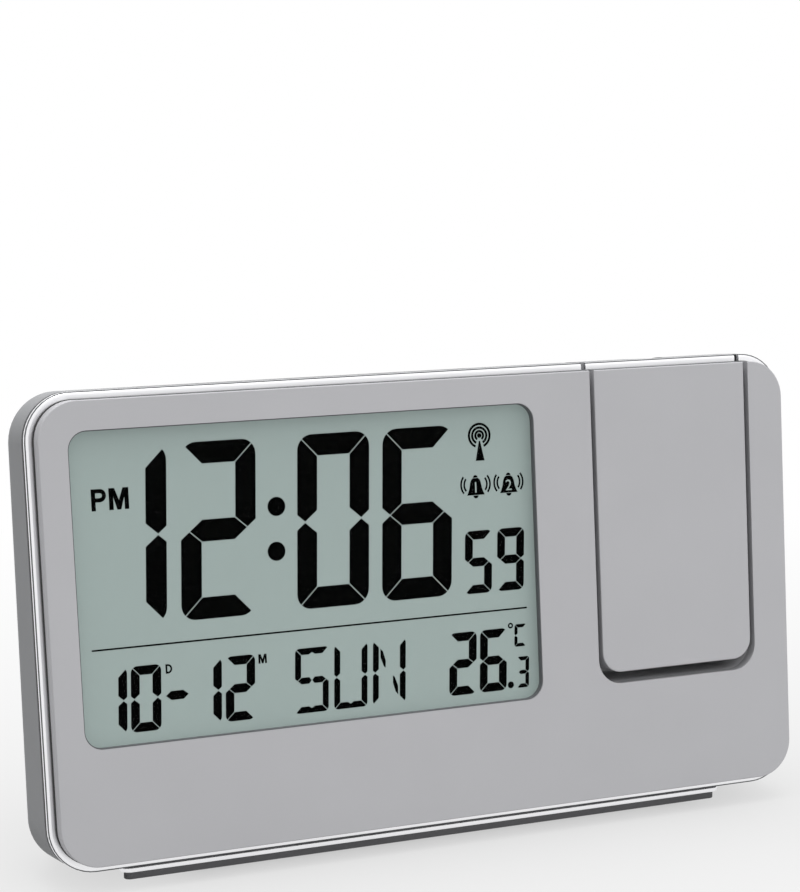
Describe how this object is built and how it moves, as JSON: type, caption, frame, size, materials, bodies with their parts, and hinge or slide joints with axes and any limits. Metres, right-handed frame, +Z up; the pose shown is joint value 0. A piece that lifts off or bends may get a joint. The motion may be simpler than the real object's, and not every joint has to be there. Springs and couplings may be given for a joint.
{
  "type": "projection alarm clock",
  "caption": "Compact leaning digital alarm clock with a framed display, battery or plug-in power and a projector arm that folds into its front face.",
  "frame": {"origin": "centre of the bounding box in X and Y, on the table under the rubber pad", "axes": "+X to the right seen from the front, +Y to the back, +Z up"},
  "size_m": [0.143, 0.0338, 0.0817],
  "materials": {
    "face_silver": "matte silver paint on plastic",
    "plated_trim": "bright satin plating on plastic",
    "dark_seam": "matte",
    "shell_grey": "fine matte grey paint",
    "clear_window": "clear polished acrylic",
    "display_glass": "grey-green liquid crystal glass",
    "guide_acrylic": "milky acrylic",
    "frame_white": "moulded white plastic",
    "strip_rubber": "zebra strip rubber",
    "board_green": "solder mask",
    "chip_black": "moulded epoxy",
    "sensor_amber": "dipped resin",
    "can_steel": "drawn can",
    "ferrite": "ground ferrite",
    "copper_winding": "enamelled wire winding",
    "tray_black": "moulded",
    "cell_case": "shrink-wrapped cell",
    "contact_steel": "nickel plated",
    "screw_steel": "zinc plated",
    "washer_nylon": "natural nylon",
    "pad_rubber": "matte",
    "key_grey": "moulded",
    "optic_black": "moulded",
    "lens_clear": "polished",
    "lamp_red": "clear red resin"
  },
  "bodies": {
    "case": {"front_panel": "face_silver", "frame_ring": "plated_trim", "seam_gasket": "dark_seam", "window_sheet": "clear_window", "lcd_glass": "display_glass", "light_guide": "guide_acrylic", "lcd_frame": "frame_white", "contact_strip": "strip_rubber", "main_board": "board_green", "control_chip": "chip_black", "crystal": "can_steel", "buzzer": "chip_black", "temperature_sensor": "sensor_amber", "ferrite_rod": "ferrite", "receiver_coil": "copper_winding", "snooze_switch": "chip_black", "rear_shell": "shell_grey", "battery_tray": "tray_black", "cell_upper": "cell_case", "cell_lower": "cell_case", "plate_contacts": "contact_steel", "spring_contacts": "contact_steel", "key_board": "board_green", "key_switches": "chip_black", "slide_switch": "chip_black", "power_jack": "chip_black", "case_screws": "screw_steel", "board_screws": "screw_steel", "base_pad": "pad_rubber", "pedestal": "plated_trim", "arm_cradle": "shell_grey", "hinge_pins": "screw_steel", "hinge_washers": "washer_nylon"},
    "projector_arm": {"arm_cover": "face_silver", "arm_back": "shell_grey", "arm_trim": "plated_trim", "projector_tube": "optic_black", "optics_housing": "optic_black", "lamp_board": "board_green", "projector_lamp": "lamp_red", "condenser_lens": "lens_clear", "projector_cell": "display_glass", "arm_screws": "screw_steel"},
    "focus": {"focus_ring": "optic_black"},
    "lens": {"lens_carrier": "optic_black", "projection_lens": "lens_clear"},
    "door": {"battery_door": "shell_grey"},
    "snooze": {"snooze_bar": "key_grey"},
    "set": {"set_key": "key_grey"},
    "plus": {"plus_key": "key_grey"},
    "minus": {"minus_key": "key_grey"},
    "alarm": {"alarm_key": "key_grey"},
    "signal": {"signal_key": "key_grey"},
    "flip": {"flip_key": "key_grey"},
    "reset": {"reset_pin": "key_grey"},
    "slider": {"projection_slider": "key_grey"}
  },
  "joints": [
    {"name": "arm_swing", "type": "hinge", "parent": "case", "child": "projector_arm", "pos_m": [0.04679, -0.00161, 0.0727], "axis": [-1, 0, 0], "range_deg": [0, 90]},
    {"name": "focus_turn", "type": "hinge", "parent": "projector_arm", "child": "focus", "pos_m": [0.04679, -0.00175, 0.06638], "axis": [0, 0.1011, 0.9949], "range_deg": [-90, 90]},
    {"name": "lens_travel", "type": "slide", "parent": "projector_arm", "child": "lens", "axis": [0, 0.1011, 0.9949], "range_m": [-0.0015, 0.0015]},
    {"name": "door_hinge", "type": "hinge", "parent": "case", "child": "door", "pos_m": [-0.02697, 0.00976, 0.00651], "axis": [-1, 0, 0], "range_deg": [0, 75]},
    {"name": "snooze_press", "type": "slide", "parent": "case", "child": "snooze", "axis": [0, -0.1011, -0.9949], "range_m": [0, 0.0006], "stiffness_N_per_m": 1200, "springref_m": -0.0003},
    {"name": "set_key_press", "type": "slide", "parent": "case", "child": "set", "axis": [0, -0.9949, 0.1011], "range_m": [0, 0.0005], "stiffness_N_per_m": 1600, "springref_m": -0.0003},
    {"name": "plus_key_press", "type": "slide", "parent": "case", "child": "plus", "axis": [0, -0.9949, 0.1011], "range_m": [0, 0.0005], "stiffness_N_per_m": 1600, "springref_m": -0.0003},
    {"name": "minus_key_press", "type": "slide", "parent": "case", "child": "minus", "axis": [0, -0.9949, 0.1011], "range_m": [0, 0.0005], "stiffness_N_per_m": 1600, "springref_m": -0.0003},
    {"name": "alarm_key_press", "type": "slide", "parent": "case", "child": "alarm", "axis": [0, -0.9949, 0.1011], "range_m": [0, 0.0005], "stiffness_N_per_m": 1600, "springref_m": -0.0003},
    {"name": "signal_key_press", "type": "slide", "parent": "case", "child": "signal", "axis": [0, -0.9949, 0.1011], "range_m": [0, 0.0005], "stiffness_N_per_m": 1600, "springref_m": -0.0003},
    {"name": "flip_key_press", "type": "slide", "parent": "case", "child": "flip", "axis": [0, -0.9949, 0.1011], "range_m": [0, 0.0005], "stiffness_N_per_m": 1600, "springref_m": -0.0003},
    {"name": "reset_press", "type": "slide", "parent": "case", "child": "reset", "axis": [0, -0.9949, 0.1011], "range_m": [0, 0.0005], "stiffness_N_per_m": 1200, "springref_m": -0.0003},
    {"name": "projection_switch", "type": "slide", "parent": "case", "child": "slider", "axis": [1, 0, 0], "range_m": [0, 0.004]}
  ],
  "couplings": [
    {"joint": "focus_turn", "follows": "lens_travel", "rad_per_m": 1046.2}
  ]
}
